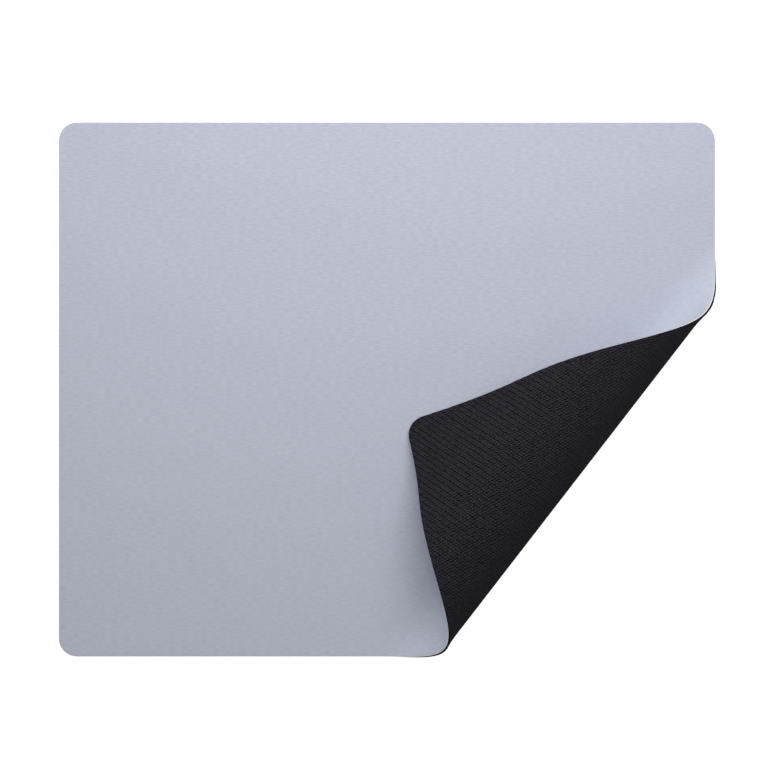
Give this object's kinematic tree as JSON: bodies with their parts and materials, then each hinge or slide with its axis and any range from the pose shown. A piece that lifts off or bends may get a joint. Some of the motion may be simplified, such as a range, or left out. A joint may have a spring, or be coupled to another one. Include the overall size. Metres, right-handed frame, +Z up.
{
  "type": "mouse pad",
  "caption": "Thin rectangular mouse pad with rounded corners, a pale woven face on a black embossed rubber base, shown with one front corner turned back over the face.",
  "frame": {"origin": "middle of the pad's outline, on the underside that lies on the desk", "axes": "+X to the right along the long edge, +Y to the back edge, +Z up out of the woven face"},
  "size_m": [0.4303, 0.3502, 0.0512],
  "materials": {
    "cloth": "fine smooth weave, matt with a faint sheen",
    "film": "thin translucent adhesive, seen only as a hairline in the cut edge",
    "rubber": "black rubber with a fine embossed non-slip underside"
  },
  "bodies": {
    "root": {"top_cloth": "cloth", "bond_film": "film", "rubber_base": "rubber"}
  },
  "joints": []
}
